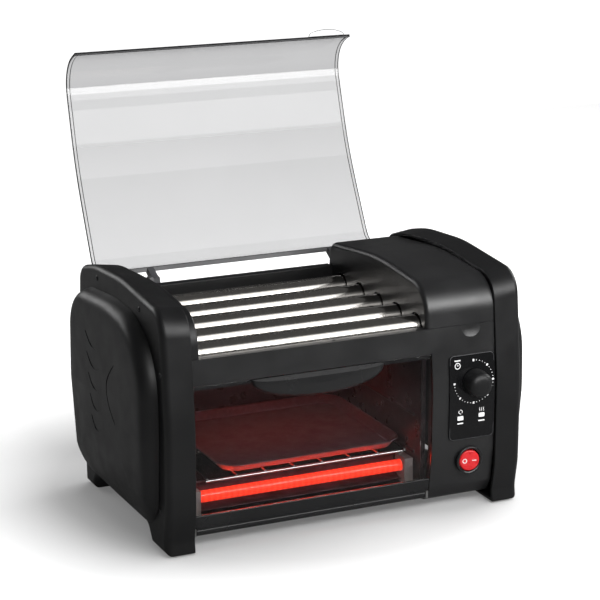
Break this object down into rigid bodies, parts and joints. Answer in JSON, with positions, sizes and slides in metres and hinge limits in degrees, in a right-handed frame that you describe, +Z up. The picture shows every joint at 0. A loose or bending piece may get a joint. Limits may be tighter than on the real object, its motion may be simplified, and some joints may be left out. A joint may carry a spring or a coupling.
{
  "type": "hot dog roller grill",
  "caption": "Countertop roller grill: a clear hinged hood over driven steel rollers, and a small oven with a drop-down clear door beneath.",
  "frame": {"origin": "on the surface that the feet stand on, under the middle of the box around the machine with its hood open", "axes": "+X to the right as seen by a user in front, +Y to the back, +Z up"},
  "size_m": [0.36, 0.3265, 0.3808],
  "materials": {
    "black_plastic": "fine satin moulded texture",
    "gloss_black": "gloss",
    "grey_plastic": "satin",
    "rubber": "matt",
    "clear_plastic": "clear, lightly smoky",
    "door_glass": "clear, lightly smoky",
    "stainless": "polished along its length",
    "zinc_steel": "plated sheet",
    "dark_enamel": "dark non-stick",
    "quartz_hot": "glowing quartz tube",
    "ceramic": "unglazed",
    "nylon": "satin",
    "red_plastic": "gloss, lit from inside"
  },
  "bodies": {
    "root": {"left_end_cap": "black_plastic", "right_end_cap": "black_plastic", "left_side_panel": "black_plastic", "right_side_panel": "black_plastic", "left_bearing_wall": "black_plastic", "motor_cover": "black_plastic", "front_frame": "black_plastic", "rear_panel": "black_plastic", "bed_rear_rail": "black_plastic", "power_switch_body": "black_plastic", "label_plate": "gloss_black", "hinge_bracket_left": "grey_plastic", "hinge_bracket_right": "grey_plastic", "cord_inlet_grommet": "rubber", "rubber_foot_front_left": "rubber", "rubber_foot_front_right": "rubber", "rubber_foot_rear_left": "rubber", "rubber_foot_rear_right": "rubber", "wire_rack": "stainless", "crumb_tray": "stainless", "heater_reflector": "stainless", "base_pan": "zinc_steel", "door_hinge_rod": "zinc_steel", "drip_pan": "zinc_steel", "gear_plate": "zinc_steel", "gear_motor": "zinc_steel", "timer_body": "zinc_steel", "oven_liner": "dark_enamel", "bake_tray": "dark_enamel", "lower_heater": "quartz_hot", "upper_heater": "quartz_hot", "heater_holder_left": "ceramic", "heater_holder_right": "ceramic", "bearing_strip_left": "nylon", "bearing_strip_right": "nylon"},
    "hood": {"hood": "clear_plastic", "hood_hinge_bar": "grey_plastic"},
    "oven_door": {"oven_door": "door_glass", "door_handle": "black_plastic"},
    "timer_knob": {"timer_knob": "black_plastic"},
    "power_rocker": {"power_switch_rocker": "red_plastic"},
    "roller_1": {"roller_1": "stainless", "roller_gear_1": "nylon"},
    "roller_2": {"roller_2": "stainless", "roller_gear_2": "nylon"},
    "roller_3": {"roller_3": "stainless", "roller_gear_3": "nylon"},
    "roller_4": {"roller_4": "stainless", "roller_gear_4": "nylon"},
    "roller_5": {"roller_5": "stainless", "roller_gear_5": "nylon"},
    "idler_1": {"idler_gear_1": "nylon"},
    "idler_2": {"idler_gear_2": "nylon"},
    "idler_3": {"idler_gear_3": "nylon"},
    "idler_4": {"idler_gear_4": "nylon"},
    "pinion": {"motor_pinion": "nylon"}
  },
  "joints": [
    {"name": "hood_hinge", "type": "hinge", "parent": "root", "child": "hood", "pos_m": [0, 0.0664, 0.1758], "axis": [1, 0, 0], "range_deg": [0, 112]},
    {"name": "door_hinge", "type": "hinge", "parent": "root", "child": "oven_door", "pos_m": [0, -0.1374, 0.0166], "axis": [1, 0, 0], "range_deg": [0, 85]},
    {"name": "timer_turn", "type": "hinge", "parent": "root", "child": "timer_knob", "pos_m": [0.1184, -0.1446, 0.115], "axis": [0, 1, 0], "range_deg": [0, 270]},
    {"name": "rocker_tilt", "type": "hinge", "parent": "root", "child": "power_rocker", "pos_m": [0.1147, -0.14476, 0.0448], "axis": [0, 0, 1], "range_deg": [0, 16]},
    {"name": "roller_1_spin", "type": "hinge", "parent": "root", "child": "roller_1", "pos_m": [0, -0.1214, 0.1635], "axis": [1, 0, 0], "continuous": true},
    {"name": "roller_2_spin", "type": "hinge", "parent": "root", "child": "roller_2", "pos_m": [0, -0.0854, 0.1635], "axis": [1, 0, 0], "continuous": true},
    {"name": "roller_3_spin", "type": "hinge", "parent": "root", "child": "roller_3", "pos_m": [0, -0.0494, 0.1635], "axis": [1, 0, 0], "continuous": true},
    {"name": "roller_4_spin", "type": "hinge", "parent": "root", "child": "roller_4", "pos_m": [0, -0.0134, 0.1635], "axis": [1, 0, 0], "continuous": true},
    {"name": "roller_5_spin", "type": "hinge", "parent": "root", "child": "roller_5", "pos_m": [0, 0.0226, 0.1635], "axis": [1, 0, 0], "continuous": true},
    {"name": "idler_1_spin", "type": "hinge", "parent": "root", "child": "idler_1", "pos_m": [0.0915, -0.1034, 0.15478], "axis": [1, 0, 0], "continuous": true},
    {"name": "idler_2_spin", "type": "hinge", "parent": "root", "child": "idler_2", "pos_m": [0.0915, -0.0674, 0.15478], "axis": [1, 0, 0], "continuous": true},
    {"name": "idler_3_spin", "type": "hinge", "parent": "root", "child": "idler_3", "pos_m": [0.0915, -0.0314, 0.15478], "axis": [1, 0, 0], "continuous": true},
    {"name": "idler_4_spin", "type": "hinge", "parent": "root", "child": "idler_4", "pos_m": [0.0915, 0.0046, 0.15478], "axis": [1, 0, 0], "continuous": true},
    {"name": "pinion_spin", "type": "hinge", "parent": "root", "child": "pinion", "pos_m": [0.0915, -0.0494, 0.1485], "axis": [1, 0, 0], "continuous": true}
  ],
  "couplings": [
    {"joint": "roller_2_spin", "follows": "roller_1_spin", "ratio": 1},
    {"joint": "roller_3_spin", "follows": "roller_1_spin", "ratio": 1},
    {"joint": "roller_4_spin", "follows": "roller_1_spin", "ratio": 1},
    {"joint": "roller_5_spin", "follows": "roller_1_spin", "ratio": 1},
    {"joint": "idler_1_spin", "follows": "roller_1_spin", "ratio": -1},
    {"joint": "idler_2_spin", "follows": "roller_1_spin", "ratio": -1},
    {"joint": "idler_3_spin", "follows": "roller_1_spin", "ratio": -1},
    {"joint": "idler_4_spin", "follows": "roller_1_spin", "ratio": -1},
    {"joint": "pinion_spin", "follows": "roller_1_spin", "ratio": -2}
  ]
}
